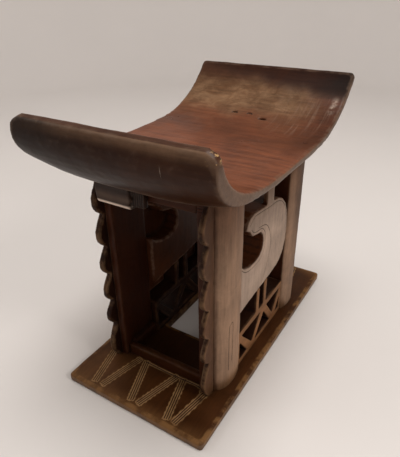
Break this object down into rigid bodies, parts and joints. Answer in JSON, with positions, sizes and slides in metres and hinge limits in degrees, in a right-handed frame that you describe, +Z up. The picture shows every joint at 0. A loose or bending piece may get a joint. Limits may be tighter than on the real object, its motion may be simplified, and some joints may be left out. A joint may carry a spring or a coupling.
{
  "type": "carved wooden stool",
  "caption": "Carved wooden stool with a curved crescent seat, corner posts with scalloped flanges, pierced side walls and a flat rectangular base.",
  "frame": {"origin": "middle of the base's underside, at the floor", "axes": "+Z up, X across the stool, Y along the seat and base, -Y is the near end with the rail stub"},
  "size_m": [0.29, 0.481, 0.431],
  "materials": {
    "seat_wood": "polished by use",
    "base_wood": "worn, satin",
    "wall_wood": "dusty, worn",
    "dark_wood": "dark, matt"
  },
  "bodies": {
    "root": {"base_plate": "base_wood", "sill_near": "base_wood", "sill_far": "base_wood", "post_near_right": "wall_wood", "post_near_left": "wall_wood", "post_far_right": "wall_wood", "post_far_left": "wall_wood", "scalloped_flange_near_right": "wall_wood", "scalloped_flange_near_left": "wall_wood", "scalloped_flange_far_right": "wall_wood", "scalloped_flange_far_left": "wall_wood", "side_motif_right": "wall_wood", "side_motif_left": "wall_wood", "lattice_band_right": "wall_wood", "lattice_band_left": "wall_wood", "lintel_near": "dark_wood", "lintel_far": "dark_wood", "rail_stub_near_left": "dark_wood", "seat": "seat_wood"}
  },
  "joints": []
}
